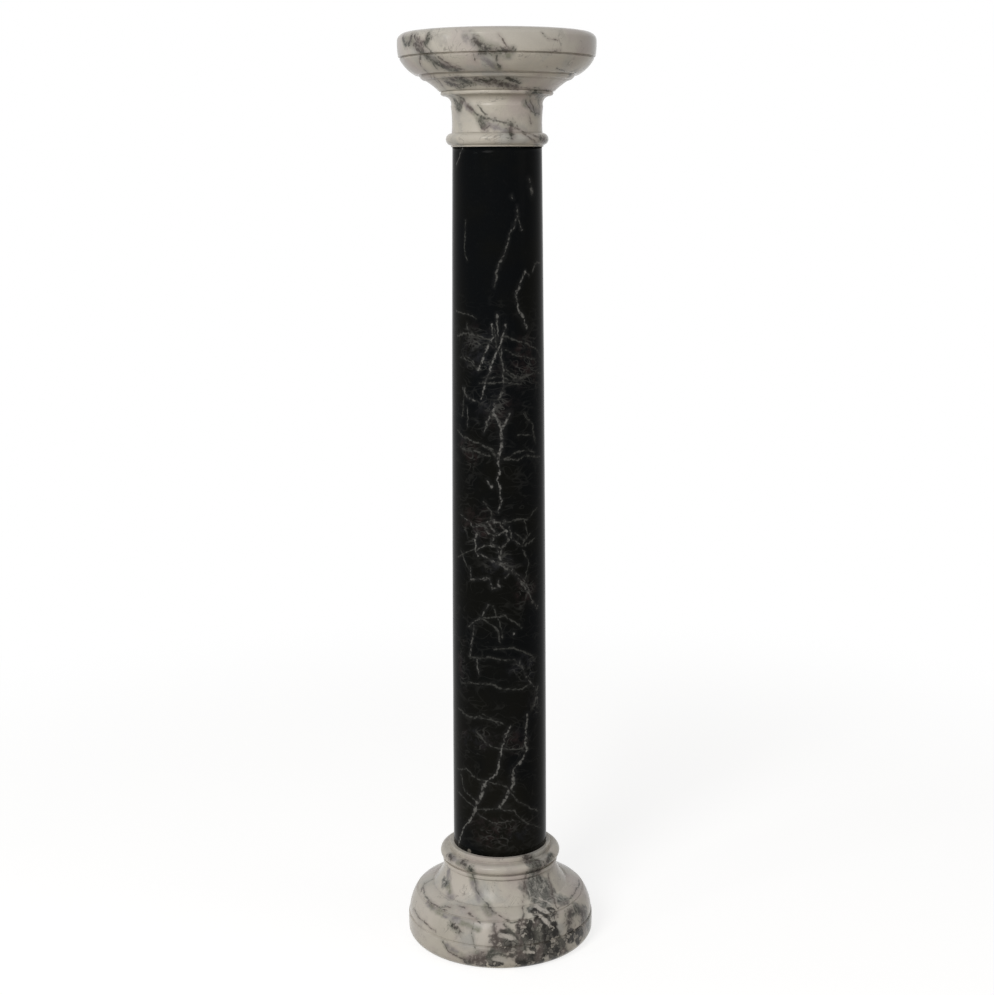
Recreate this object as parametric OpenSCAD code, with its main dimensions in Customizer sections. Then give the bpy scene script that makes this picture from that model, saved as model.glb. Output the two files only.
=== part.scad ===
// Pedestal column turned from marble, in three stones that stand on each other:
// a white base, a black shaft with a slight swell, and a white capital with a flat top.
// Each stone is a turned profile, a stack of mouldings from its lower bed to its upper bed.

/* [Column] */
// Height from the floor to the flat top
column_h = 1060; // [850:5:1400]

/* [Shaft] */
// Diameter of the shaft at its foot
shaft_foot_d = 111.6; // [85:0.2:140]
// Diameter of the shaft under the capital
shaft_head_d = 100.2; // [75:0.2:126]
// How far the side of the shaft swells beyond a straight taper
entasis = 0.95; // [0:0.05:4]

/* [Base] */
// Diameter of the plinth, the widest part of the base
plinth_d = 222.4; // [180:0.2:300]
// Height of the rounded lower edge of the plinth
plinth_edge_h = 11; // [6:0.5:18]
// How far the lower edge draws in at the floor
plinth_edge_in = 12.7; // [5:0.1:20]
// Height of the upright side of the plinth
plinth_side_h = 18.5; // [10:0.5:40]
// Height of the V groove over the plinth
base_groove_h = 2.4; // [1.5:0.1:4]
// Depth of the V groove over the plinth
base_groove_depth = 2.6; // [1:0.1:4]
// Height of the large ovolo over the groove
base_ovolo_h = 25.4; // [15:0.2:40]
// How far the large ovolo draws in at its head
base_ovolo_in = 8.7; // [4:0.1:14]
// Height of the shoulder between the ovolo and the bell
shoulder_h = 8; // [6:0.5:16]
// Height of the bell
bell_h = 25.5; // [15:0.5:40]
// How far the bell flares out from its head to its foot
bell_flare = 12.9; // [4:0.1:18]
// Height of the fillet over the bell
base_fillet_h = 4.8; // [3:0.2:10]
// How far the fillet stands out from the head of the bell
base_fillet_out = 2; // [1:0.1:4]
// Height of the torus round the foot of the shaft
torus_h = 11.8; // [8:0.2:16]
// How far the beds of the torus stand out from the collar
torus_out = 5.3; // [2:0.1:10]
// Height of the collar under the foot of the shaft
collar_h = 5; // [3:0.2:10]
// How far the collar stands out from the shaft
collar_out = 4.8; // [2:0.2:10]

/* [Capital] */
// Diameter of the abacus, the widest part of the capital
abacus_d = 220; // [190:1:300]
// Height of the rounded top edge
abacus_edge_h = 7; // [4:0.5:12]
// How far the rounded edge draws in at the top
abacus_edge_in = 9; // [4:0.2:12]
// Height of the upright side of the abacus
abacus_side_h = 18.6; // [10:0.2:40]
// Height of the V groove under the abacus
cap_groove_h = 2.2; // [1.5:0.1:4]
// Depth of the V groove under the abacus
cap_groove_depth = 3; // [1:0.1:4]
// Height of the ovolo under the groove
cap_ovolo_h = 17.2; // [12:0.2:30]
// How far the ovolo draws in at its foot
cap_ovolo_in = 17.1; // [10:0.1:24]
// Height of the fillet under the ovolo
cap_fillet_h = 4; // [3:0.2:8]
// How far the foot of the fillet lies in from the foot of the ovolo
cap_fillet_in = 8.4; // [3:0.2:10]
// How far the side of the fillet leans out from its foot to its head
cap_fillet_lean = 4; // [0:0.2:6]
// Height of the echinus under the fillet
echinus_h = 11.2; // [8:0.2:20]
// Height of the bead over the neck
bead_h = 4.6; // [3:0.2:8]
// How far the bead stands out from the neck
bead_out = 10.2; // [6:0.2:16]
// Height of the hollow that opens out under the bead
cavetto_h = 10.2; // [6:0.2:16]
// Height of the plain neck
neck_h = 28.8; // [15:0.2:50]
// How far the neck stands out from the head of the shaft
neck_out = 0.6; // [0:0.1:3]
// Height of the astragal, the ring at the foot of the neck
astragal_h = 13.5; // [8:0.5:20]
// Height of the bed ring under the astragal
bed_ring_h = 1.6; // [1:0.1:5]
// How far the bed ring stands out from the head of the shaft
bed_ring_out = 1.6; // [0.4:0.2:4]

/* [Hidden] */

white_marble = [0.82, 0.79, 0.74];
black_marble = [0.07, 0.07, 0.07];

$fn = 128;
// Straight steps that draw one curved moulding, and the side of the shaft
arc_steps = 10;
shaft_steps = 16;

// Roundness of a moulding: how far its middle stands out from the straight line between
// its ends, as a share of that line. Half is a full half round, and a hollow is negative.
flat = 0;
plinth_round = 0.015;
faint_round = 0.03;
soft_round = 0.07;
edge_round = 0.16;
bead_round = 0.34;
ring_round = 0.43;
full_round = 0.5;
faint_hollow = -0.025;
bell_hollow = -0.055;
deep_hollow = -0.19;

// Sunk lines between two mouldings: their height, and how far they lie in
quirk_h = 1.2;
quirk_in = 2.6;
// Small change of radius where one moulding meets the next with a visible edge
lip = 0.7;
// How far the abacus, and the ovolo over the plinth, lie in at the groove
groove_set_in = 1;
// How far the head of the bead stands out from its foot
bead_lean = 2;
// How far the foot of the echinus stands out from the head of the bead
echinus_step = 2;

plinth_r = plinth_d / 2;
abacus_r = abacus_d / 2;
shaft_foot_r = shaft_foot_d / 2;
shaft_head_r = shaft_head_d / 2;

collar_r = shaft_foot_r + collar_out;
torus_r = collar_r + torus_out;
bell_head_r = torus_r + lip;
bell_foot_r = bell_head_r + bell_flare;
base_ovolo_foot_r = plinth_r - groove_set_in;
base_ovolo_head_r = base_ovolo_foot_r - base_ovolo_in;

neck_r = shaft_head_r + neck_out;
cavetto_head_r = neck_r + bead_out / 2;
bead_foot_r = neck_r + bead_out - bead_lean / 2;
bead_head_r = bead_foot_r + bead_lean;
abacus_foot_r = abacus_r - groove_set_in;
cap_ovolo_head_r = abacus_foot_r - 2 * lip;
cap_ovolo_foot_r = cap_ovolo_head_r - cap_ovolo_in;
cap_fillet_foot_r = cap_ovolo_foot_r - cap_fillet_in;
cap_fillet_head_r = cap_fillet_foot_r + cap_fillet_lean;
echinus_head_r = cap_fillet_foot_r - 1.5 * quirk_in;

// Each moulding is [height, radius at its foot, radius at its head, roundness]
base_mouldings = [
    [plinth_edge_h, plinth_r - plinth_edge_in, plinth_r, edge_round],
    [plinth_side_h, plinth_r, plinth_r, plinth_round],
    [base_groove_h / 2, plinth_r, plinth_r - base_groove_depth, flat],
    [base_groove_h / 2, plinth_r - base_groove_depth, base_ovolo_foot_r, flat],
    [base_ovolo_h, base_ovolo_foot_r, base_ovolo_head_r, soft_round],
    [quirk_h / 2, base_ovolo_head_r, base_ovolo_head_r - quirk_in, flat],
    [quirk_h, base_ovolo_head_r - quirk_in, base_ovolo_head_r - quirk_in + lip, flat],
    [shoulder_h, base_ovolo_head_r - quirk_in + lip, bell_foot_r + quirk_in, faint_round],
    [quirk_h / 2, bell_foot_r + lip, bell_foot_r, flat],
    [bell_h, bell_foot_r, bell_head_r, bell_hollow],
    [quirk_h, bell_head_r - lip, bell_head_r - lip, flat],
    [base_fillet_h, bell_head_r + base_fillet_out, bell_head_r + base_fillet_out, soft_round],
    [quirk_h, torus_r, torus_r, flat],
    [torus_h, torus_r, torus_r, full_round],
    [quirk_h, collar_r - lip, collar_r - lip, flat],
    [collar_h, collar_r, collar_r, faint_round]
];

capital_mouldings = [
    [bed_ring_h, shaft_head_r + bed_ring_out, shaft_head_r + bed_ring_out, flat],
    [astragal_h, shaft_head_r + bed_ring_out, neck_r + lip, ring_round],
    [neck_h, neck_r, neck_r + lip, faint_hollow],
    [cavetto_h, neck_r + lip, cavetto_head_r, deep_hollow],
    [quirk_h, cavetto_head_r, bead_foot_r - 2 * lip, flat],
    [bead_h, bead_foot_r, bead_head_r, bead_round],
    [echinus_h, bead_head_r + echinus_step, echinus_head_r, faint_hollow],
    [quirk_h, echinus_head_r, cap_fillet_foot_r - quirk_in, flat],
    [cap_fillet_h, cap_fillet_foot_r, cap_fillet_head_r, soft_round],
    [quirk_h, cap_fillet_head_r - lip, cap_fillet_head_r, flat],
    [cap_ovolo_h, cap_ovolo_foot_r, cap_ovolo_head_r, soft_round],
    [cap_groove_h / 2, cap_ovolo_head_r, abacus_foot_r - cap_groove_depth, flat],
    [cap_groove_h / 2, abacus_foot_r - cap_groove_depth, abacus_foot_r, flat],
    [abacus_side_h, abacus_foot_r, abacus_r, faint_round],
    [abacus_edge_h, abacus_r, abacus_r - abacus_edge_in, edge_round]
];

function stack_h(rows, i = 0) = i < len(rows) ? rows[i][0] + stack_h(rows, i + 1) : 0;

base_h = stack_h(base_mouldings);
capital_h = stack_h(capital_mouldings);
shaft_h = column_h - base_h - capital_h;

// Points [radius, height] along one moulding whose foot is at height z. A curved one is an
// arc through both ends, and its last point is left to the moulding over it if they meet.
function moulding_points(row, z, with_head) =
    let (
        foot = [row[1], z],
        head = [row[2], z + row[0]],
        chord = norm(head - foot),
        along = (head - foot) / chord,
        outward = [along[1], -along[0]],
        half_angle = 2 * atan(2 * abs(row[3])),
        steps = row[3] == flat ? 1 : arc_steps,
        last = with_head ? steps : steps - 1
    )
    [for (i = [0 : last])
        let (angle = half_angle * (2 * i / steps - 1))
        row[3] == flat
            ? foot + along * chord * i
            : foot + along * chord * (1 + sin(angle) / sin(half_angle)) / 2
                + outward * sign(row[3]) * chord * (cos(angle) - cos(half_angle)) / (2 * sin(half_angle))
    ];

function meets_next(rows, i) = i + 1 < len(rows) && rows[i][2] == rows[i + 1][1];

function profile_points(rows, i = 0, z = 0) = i < len(rows)
    ? concat(
        moulding_points(rows[i], z, !meets_next(rows, i)),
        profile_points(rows, i + 1, z + rows[i][0]))
    : [];

// Radius of the shaft at a share of its height, from 0 at its foot to 1 at its head
function shaft_r(share) =
    shaft_foot_r + (shaft_head_r - shaft_foot_r) * share + 4 * entasis * share * (1 - share);

module turned(side) {
    low = side[0][1];
    high = side[len(side) - 1][1];
    rotate_extrude()
        polygon(concat([[0, low]], side, [[0, high]]));
}

module base() {
    color(white_marble)
        turned(profile_points(base_mouldings));
}

module shaft() {
    color(black_marble)
        translate([0, 0, base_h])
            turned([for (i = [0 : shaft_steps]) [shaft_r(i / shaft_steps), shaft_h * i / shaft_steps]]);
}

module capital() {
    color(white_marble)
        translate([0, 0, base_h + shaft_h])
            turned(profile_points(capital_mouldings));
}

base();
shaft();
capital();
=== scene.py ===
"""A polished marble pedestal column: a white marble base and capital, and a black marble shaft.

Sizes are in millimetres and degrees until a mesh is made. The frame's Z axis is the column's own axis,
and its front faces -Y: an angle is 0 at the front and grows towards +X.
"""
import math
import random

import bpy
from mathutils import Matrix, Vector, noise


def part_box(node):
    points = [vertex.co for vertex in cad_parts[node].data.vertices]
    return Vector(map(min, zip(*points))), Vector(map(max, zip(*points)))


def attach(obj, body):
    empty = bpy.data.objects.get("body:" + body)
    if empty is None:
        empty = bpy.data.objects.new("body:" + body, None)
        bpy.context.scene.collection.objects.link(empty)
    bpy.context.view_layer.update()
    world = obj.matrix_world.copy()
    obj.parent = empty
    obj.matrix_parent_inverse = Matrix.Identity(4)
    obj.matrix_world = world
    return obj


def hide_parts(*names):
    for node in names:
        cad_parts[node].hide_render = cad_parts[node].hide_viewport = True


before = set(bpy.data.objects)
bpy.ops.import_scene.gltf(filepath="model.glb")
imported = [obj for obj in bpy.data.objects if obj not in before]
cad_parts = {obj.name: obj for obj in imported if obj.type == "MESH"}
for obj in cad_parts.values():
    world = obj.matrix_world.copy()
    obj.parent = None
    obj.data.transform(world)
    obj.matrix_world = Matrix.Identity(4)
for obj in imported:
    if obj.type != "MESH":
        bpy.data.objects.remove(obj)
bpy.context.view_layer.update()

MM = 0.001


# -------------------- turned shapes

SHAFT_FOOT_R, SHAFT_HEAD_R, ENTASIS = 55.8, 50.1, 0.95
PLINTH_R, PLINTH_EDGE_IN = 111.2, 12.7
ABACUS_R, ABACUS_EDGE_IN = 110.0, 9.0
QUIRK_H, QUIRK_IN, LIP = 1.2, 2.6, 0.7
FLAT, PLINTH_ROUND, FAINT_ROUND, SOFT_ROUND, EDGE_ROUND = 0.0, 0.015, 0.03, 0.07, 0.16
BEAD_ROUND, RING_ROUND, FULL_ROUND = 0.34, 0.43, 0.4999
FAINT_HOLLOW, BELL_HOLLOW, DEEP_HOLLOW = -0.025, -0.055, -0.19

COLLAR_R = SHAFT_FOOT_R + 4.8
TORUS_R = COLLAR_R + 5.3
BELL_HEAD_R = TORUS_R + LIP
BELL_FOOT_R = BELL_HEAD_R + 12.9
BASE_OVOLO_FOOT_R = PLINTH_R - 1.0
BASE_OVOLO_HEAD_R = BASE_OVOLO_FOOT_R - 8.7
NECK_R = SHAFT_HEAD_R + 0.6
CAVETTO_HEAD_R = NECK_R + 5.1
BEAD_FOOT_R = NECK_R + 9.2
BEAD_HEAD_R = BEAD_FOOT_R + 2.0
ABACUS_FOOT_R = ABACUS_R - 1.0
CAP_OVOLO_HEAD_R = ABACUS_FOOT_R - 2 * LIP
CAP_OVOLO_FOOT_R = CAP_OVOLO_HEAD_R - 17.1
CAP_FILLET_FOOT_R = CAP_OVOLO_FOOT_R - 8.4
CAP_FILLET_HEAD_R = CAP_FILLET_FOOT_R + 4.0
ECHINUS_HEAD_R = CAP_FILLET_FOOT_R - 1.5 * QUIRK_IN

# Each moulding: its height, its radius at the foot and at the head, and how round it is (below 0, hollow).
BASE_MOULDINGS = (
    (11.0, PLINTH_R - PLINTH_EDGE_IN, PLINTH_R, EDGE_ROUND),
    (18.5, PLINTH_R, PLINTH_R, PLINTH_ROUND),
    (1.2, PLINTH_R, PLINTH_R - 2.6, FLAT),
    (1.2, PLINTH_R - 2.6, BASE_OVOLO_FOOT_R, FLAT),
    (25.4, BASE_OVOLO_FOOT_R, BASE_OVOLO_HEAD_R, SOFT_ROUND),
    (QUIRK_H / 2, BASE_OVOLO_HEAD_R, BASE_OVOLO_HEAD_R - QUIRK_IN, FLAT),
    (QUIRK_H, BASE_OVOLO_HEAD_R - QUIRK_IN, BASE_OVOLO_HEAD_R - QUIRK_IN + LIP, FLAT),
    (8.0, BASE_OVOLO_HEAD_R - QUIRK_IN + LIP, BELL_FOOT_R + QUIRK_IN, FAINT_ROUND),
    (QUIRK_H / 2, BELL_FOOT_R + LIP, BELL_FOOT_R, FLAT),
    (25.5, BELL_FOOT_R, BELL_HEAD_R, BELL_HOLLOW),
    (QUIRK_H, BELL_HEAD_R - LIP, BELL_HEAD_R - LIP, FLAT),
    (4.8, BELL_HEAD_R + 2.0, BELL_HEAD_R + 2.0, SOFT_ROUND),
    (QUIRK_H, TORUS_R, TORUS_R, FLAT),
    (11.8, TORUS_R, TORUS_R, FULL_ROUND),
    (QUIRK_H, COLLAR_R - LIP, COLLAR_R - LIP, FLAT),
    (5.0, COLLAR_R, COLLAR_R, FAINT_ROUND),
)
CAPITAL_MOULDINGS = (
    (1.6, SHAFT_HEAD_R + 1.6, SHAFT_HEAD_R + 1.6, FLAT),
    (13.5, SHAFT_HEAD_R + 1.6, NECK_R + LIP, RING_ROUND),
    (28.8, NECK_R, NECK_R + LIP, FAINT_HOLLOW),
    (10.2, NECK_R + LIP, CAVETTO_HEAD_R, DEEP_HOLLOW),
    (QUIRK_H, CAVETTO_HEAD_R, BEAD_FOOT_R - 2 * LIP, FLAT),
    (4.6, BEAD_FOOT_R, BEAD_HEAD_R, BEAD_ROUND),
    (11.2, BEAD_HEAD_R + 2.0, ECHINUS_HEAD_R, FAINT_HOLLOW),
    (QUIRK_H, ECHINUS_HEAD_R, CAP_FILLET_FOOT_R - QUIRK_IN, FLAT),
    (4.0, CAP_FILLET_FOOT_R, CAP_FILLET_HEAD_R, SOFT_ROUND),
    (QUIRK_H, CAP_FILLET_HEAD_R - LIP, CAP_FILLET_HEAD_R, FLAT),
    (17.2, CAP_OVOLO_FOOT_R, CAP_OVOLO_HEAD_R, SOFT_ROUND),
    (1.1, CAP_OVOLO_HEAD_R, ABACUS_FOOT_R - 3.0, FLAT),
    (1.1, ABACUS_FOOT_R - 3.0, ABACUS_FOOT_R, FLAT),
    (18.6, ABACUS_FOOT_R, ABACUS_R, FAINT_ROUND),
    (7.0, ABACUS_R, ABACUS_R - ABACUS_EDGE_IN, EDGE_ROUND),
)

ARC_STEPS, SHAFT_STEPS, SEGMENTS = 14, 110, 320
SAME = 1e-4
DISC_RINGS = (0.12, 0.35, 0.65, 0.9, 0.985)

# Arrises turned by more than SHARP are eased, by no more than NEARLY_HALF of the run on either side.
# A run longer than LONG_RUN eases gets one point more.
SHARP, NEARLY_HALF, LONG_RUN = math.radians(14), 0.4, 5
BASE_EASE, CAPITAL_EASE = 0.6, 0.45

# How far the visual surface lies inside the true one, at the least, and how deep its slow waves are.
WORN, WHITE_WAVES, SHAFT_WAVES = 0.02, 0.22, 0.1
WAVE_SIZE, RIPPLE_SIZE = 38.0, 11.0

# The chip at the left of the shaft's foot: where it is, how far it reaches and how deep it is.
CHIP_ANGLE, CHIP_UP, CHIP_REACH, CHIP_DEEP = math.radians(-41), 1.8, 3.4, 0.9


def arc(foot, head, roundness):
    """The points of a moulding's curve after its foot, up to its head."""
    if roundness == FLAT:
        return [head]
    chord = (head - foot).length
    along = (head - foot) / chord
    outward = Vector((along.y, -along.x)) * (1 if roundness > 0 else -1)
    half_angle = 2 * math.atan(2 * abs(roundness))
    points = []
    for step in range(1, ARC_STEPS + 1):
        a = half_angle * (2 * step / ARC_STEPS - 1)
        run = chord * (1 + math.sin(a) / math.sin(half_angle)) / 2
        rise = chord * (math.cos(a) - math.cos(half_angle)) / (2 * math.sin(half_angle))
        points.append(foot + along * run + outward * rise)
    return points


def outline(mouldings, foot_z):
    """The side of a turned piece, as (radius, height) points from its foot to its head."""
    points, z = [], foot_z
    for height, foot_r, head_r, roundness in mouldings:
        foot, head = Vector((foot_r, z)), Vector((head_r, z + height))
        if not points or (points[-1] - foot).length > SAME:
            points.append(foot)
        points += arc(foot, head, roundness)
        z += height
    return points


def shaft_outline(foot_z, head_z):
    """The shaft's side: a taper with a slight swell."""
    points = []
    for step in range(SHAFT_STEPS + 1):
        s = step / SHAFT_STEPS
        r = SHAFT_FOOT_R + (SHAFT_HEAD_R - SHAFT_FOOT_R) * s + 4 * ENTASIS * s * (1 - s)
        points.append(Vector((r, foot_z + (head_z - foot_z) * s)))
    return points


def eased(points, ease):
    """The outline with its arrises rubbed to a small round, and a point beside each so flats stay flat."""
    result = [points[0]]
    for before, here, after in zip(points, points[1:], points[2:]):
        back, on = before - here, after - here
        if abs(back.angle_signed(-on)) < SHARP:
            result.append(here)
            continue
        small = min(ease, back.length * NEARLY_HALF, on.length * NEARLY_HALF)
        one, two = here + back.normalized() * small, here + on.normalized() * small
        middle = (one + two) / 4 + here / 2
        if back.length > LONG_RUN * small:
            result.append(here + back.normalized() * 2 * small)
        result += [one, middle, two]
        if on.length > LONG_RUN * small:
            result.append(here + on.normalized() * 2 * small)
    result.append(points[-1])
    return result


def radius_at(points, z):
    """The outermost radius of an outline at a height."""
    radii = []
    for low, high in zip(points, points[1:]):
        if min(low.y, high.y) <= z <= max(low.y, high.y):
            share = 0.0 if abs(high.y - low.y) < SAME else (z - low.y) / (high.y - low.y)
            radii.append(low.x + (high.x - low.x) * share)
    return max(radii)


def hand_cut(name, waviness, chips=()):
    """How far a place on a stone lies under its true surface: wear, slow unevenness and chips."""
    offset = Vector((len(name) * 7.0, 3.0, 1.0))

    def depth(place):
        wave = noise.noise(place / WAVE_SIZE + offset) * 0.5 + 0.5
        ripple = noise.noise(place / RIPPLE_SIZE - offset) * 0.5 + 0.5
        total = waviness * (0.7 * wave + 0.3 * ripple)
        for centre, reach, deep in chips:
            gap = (place - centre).length / reach
            if gap < 1.0:
                rough = 0.7 + 0.6 * noise.noise(place * 1.1)
                total += deep * rough * (1 - gap * gap)
        return total + WORN

    return depth


def turned(name, side, depth, material, charts):
    """A closed turned solid: its side, and a flat disc at each end. No vertex is outside the true surface."""
    foot_z, head_z = side[0].y, side[-1].y
    foot_disc = [Vector((side[0].x * share, foot_z)) for share in DISC_RINGS]
    head_disc = [Vector((side[-1].x * share, head_z)) for share in reversed(DISC_RINGS)]
    rings = foot_disc + side + head_disc
    normals = []
    for index, here in enumerate(rings):
        before, after = rings[max(index - 1, 0)], rings[min(index + 1, len(rings) - 1)]
        run = after - before
        normals.append(Vector((run.y, -run.x)).normalized() if run.length > 0 else Vector((1, 0)))
    vertices = []
    for index, ring in enumerate(rings):
        flat_end = index < len(foot_disc) or index >= len(rings) - len(head_disc)
        for turn in range(SEGMENTS):
            angle = 2 * math.pi * turn / SEGMENTS
            outward = Vector((math.sin(angle), -math.cos(angle), 0.0))
            place = outward * ring.x + Vector((0, 0, ring.y))
            if not flat_end and foot_z + SAME < ring.y < head_z - SAME:
                push = outward * normals[index].x + Vector((0, 0, normals[index].y))
                place -= push * depth(place)
            vertices.append(place * MM)
    foot_pole, head_pole = len(vertices), len(vertices) + 1
    vertices += [Vector((0, 0, foot_z)) * MM, Vector((0, 0, head_z)) * MM]
    faces = []
    last = (len(rings) - 1) * SEGMENTS
    for turn in range(SEGMENTS):
        beside = (turn + 1) % SEGMENTS
        faces.append((foot_pole, beside, turn))
        for ring in range(len(rings) - 1):
            low, high = ring * SEGMENTS, (ring + 1) * SEGMENTS
            faces.append((low + turn, low + beside, high + beside, high + turn))
        faces.append((last + turn, last + beside, head_pole))
    mesh = bpy.data.meshes.new(name)
    mesh.from_pydata(vertices, [], faces)
    mesh.update()
    mesh.shade_smooth()
    lay_out(mesh, rings, len(foot_disc), len(head_disc), charts)
    mesh.materials.append(material)
    piece = bpy.data.objects.new(name, mesh)
    bpy.context.scene.collection.objects.link(piece)
    return piece


def lay_out(mesh, rings, foot_count, head_count, charts):
    """The map that the stone is unrolled on: its side in two strips, and the two end discs above them.

    charts has a function for the side, and for each disc its centre across, its centre up and its radius.
    """
    lengths = [0.0]
    for low, high in zip(rings, rings[1:]):
        lengths.append(lengths[-1] + (high - low).length)
    start, stop = lengths[foot_count], lengths[len(rings) - head_count - 1]
    per_turn = len(rings) + 1
    pole = len(rings) * SEGMENTS
    layer = mesh.uv_layers.new(name="OFBake")
    for polygon in mesh.polygons:
        turn, step = divmod(polygon.index, per_turn)
        ring = step - 1
        for loop_index in polygon.loop_indices:
            vertex = mesh.loops[loop_index].vertex_index
            if ring < foot_count or ring >= len(rings) - head_count - 1:
                end = charts["foot"] if ring < foot_count else charts["head"]
                co = mesh.vertices[vertex].co / MM
                reach = rings[foot_count].x if ring < foot_count else rings[len(rings) - head_count - 1].x
                uv = (end[0] + co.x / reach * end[2], end[1] + co.y / reach * end[2])
            else:
                around = (turn + (1 if vertex % SEGMENTS != turn or vertex >= pole else 0)) / SEGMENTS
                up = (lengths[vertex // SEGMENTS] - start) / (stop - start)
                middle = ((lengths[ring] + lengths[ring + 1]) / 2 - start) / (stop - start)
                uv = charts["side"](around, up, (turn + 0.5) / SEGMENTS, middle)
            layer.data[loop_index].uv = uv


GUTTER = 0.012


def halves_stacked(height):
    """The front and the back half turn of a wide piece, one above the other."""

    def place(around, up, middle_turn, middle_up):
        half = 1 if 0.25 <= middle_turn < 0.75 else 0
        along = (around + 0.25) % 1.0 if half == 0 else around - 0.25
        across = GUTTER + along * 2 * (1 - 2 * GUTTER)
        return across, (half + GUTTER + up * (1 - 2 * GUTTER)) * height / 2

    return place


def halves_beside(height):
    """The lower and the upper half of a tall piece, side by side."""

    def place(around, up, middle_turn, middle_up):
        half = 0 if middle_up < 0.5 else 1
        across = (half + GUTTER + around * (1 - 2 * GUTTER)) / 2
        return across, (GUTTER + (up - half / 2) * 2 * (1 - 2 * GUTTER)) * height

    return place


# -------------------- material nodes

LINES_TO_A_GROUP = 8
STONE_IOR = 1.5


class Web:
    """Short calls for the nodes of one tree. Each returns an output socket."""

    def __init__(self, tree):
        self.tree = tree
        tree.nodes.clear()

    def node(self, kind, feeds, **settings):
        made = self.tree.nodes.new(kind)
        for key, value in settings.items():
            setattr(made, key, value)
        for socket, value in feeds.items():
            if isinstance(value, bpy.types.NodeSocket):
                self.tree.links.new(value, made.inputs[socket])
            elif value is not None:
                made.inputs[socket].default_value = value
        return made

    def math(self, operation, a, b=None, c=None):
        return self.node("ShaderNodeMath", {0: a, 1: b, 2: c}, operation=operation).outputs[0]

    def times(self, a, b):
        return self.math("MULTIPLY", a, b)

    def vec(self, operation, a, b=None, scale=None):
        made = self.node("ShaderNodeVectorMath", {0: a, 1: b, "Scale": scale}, operation=operation)
        return made.outputs["Value" if operation in ("DOT_PRODUCT", "DISTANCE", "LENGTH") else "Vector"]

    def place(self):
        """Where a point of the surface is, in millimetres."""
        return self.vec("SCALE", self.node("ShaderNodeTexCoord", {}).outputs["Object"], scale=1 / MM)

    def split(self, vector):
        return self.node("ShaderNodeSeparateXYZ", {0: vector}).outputs

    def channels(self, colour):
        return self.node("ShaderNodeSeparateColor", {0: colour}).outputs

    def join(self, x, y, z):
        return self.node("ShaderNodeCombineXYZ", {0: x, 1: y, 2: z}).outputs[0]

    def noise(self, at, size, detail=3.0, rough=0.5, twist=0.0, colour=False):
        made = self.node("ShaderNodeTexNoise", {
            "Vector": at, "Scale": 1 / size, "Detail": detail, "Roughness": rough, "Distortion": twist})
        return made.outputs["Color" if colour else "Fac"]

    def cells(self, at, size, feature="F1", output="Distance"):
        made = self.node("ShaderNodeTexVoronoi", {"Vector": at, "Scale": 1 / size}, feature=feature)
        return made.outputs[output]

    def fade(self, value, start, end, low=0.0, high=1.0):
        """low up to start, high from end on, and smooth between; start may lie above end."""
        return self.node("ShaderNodeMapRange", {
            0: value, 1: start, 2: end, 3: low, 4: high}, interpolation_type="SMOOTHSTEP").outputs[0]

    def blend(self, share, one, two):
        """one where share is 0, two where it is 1."""
        return self.node("ShaderNodeMix", {0: share, 6: one, 7: two}, data_type="RGBA").outputs[2]

    def ramp(self, value, stops):
        made = self.node("ShaderNodeValToRGB", {0: value})
        elements = made.color_ramp.elements
        while len(elements) < len(stops):
            elements.new(0.5)
        for element, (position, colour) in zip(elements, stops):
            element.position = position
            element.color = colour
        return made.outputs[0]

    def shaken(self, at, over, size, reach):
        """at, pushed about by a noise over the stone, so that nothing drawn there is straight."""
        red, green, blue = self.channels(self.noise(over, size, 2.0, colour=True))
        push = self.vec("SUBTRACT", self.join(red, green, blue), (0.5, 0.5, 0.5))
        return self.vec("ADD", at, self.vec("SCALE", push, scale=reach))

    def nearest(self, at, lines):
        """How far a point is from the nearest of these lines, in half widths of that line."""
        best = None
        for first in range(0, len(lines), LINES_TO_A_GROUP):
            group = bpy.data.node_groups.new("veins", "ShaderNodeTree")
            group.interface.new_socket("At", in_out="INPUT", socket_type="NodeSocketVector")
            group.interface.new_socket("Near", in_out="OUTPUT", socket_type="NodeSocketFloat")
            inner = Web(group)
            inside = inner.node("NodeGroupInput", {}).outputs[0]
            near = inner.nearest_here(inside, lines[first:first + LINES_TO_A_GROUP])
            inner.node("NodeGroupOutput", {0: near})
            made = self.tree.nodes.new("ShaderNodeGroup")
            made.node_tree = group
            self.tree.links.new(at, made.inputs[0])
            best = made.outputs[0] if best is None else self.math("MINIMUM", best, made.outputs[0])
        return best

    def nearest_here(self, at, lines):
        best = None
        for half_width, points in lines:
            near = None
            for start, end in zip(points, points[1:]):
                along = end - start
                off = self.vec("SUBTRACT", at, start)
                share = self.vec("DOT_PRODUCT", off, along / along.length_squared)
                share = self.node("ShaderNodeClamp", {"Value": share}).outputs[0]
                gap = self.vec("DISTANCE", off, self.vec("SCALE", along, scale=share))
                near = gap if near is None else self.math("MINIMUM", near, gap)
            near = self.math("DIVIDE", near, half_width)
            best = near if best is None else self.math("MINIMUM", best, near)
        return best

    def nearest_patch(self, at, patches):
        """How far out a point is in the nearest of these round patches: 0 at its centre, 1 at its rim."""
        best = None
        for centre, size in patches:
            off = self.vec("DIVIDE", self.vec("SUBTRACT", at, centre), size)
            near = self.vec("LENGTH", off)
            best = near if best is None else self.math("MINIMUM", best, near)
        return best

    def ridge(self, at, size, width, detail=3.0, twist=0.0):
        """Thin wandering lines where a noise crosses its middle: 1 on the line, 0 beside it."""
        away = self.math("ABSOLUTE", self.math("SUBTRACT", self.noise(at, size, detail, 0.55, twist), 0.5))
        return self.fade(away, width, 0.0)

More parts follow.
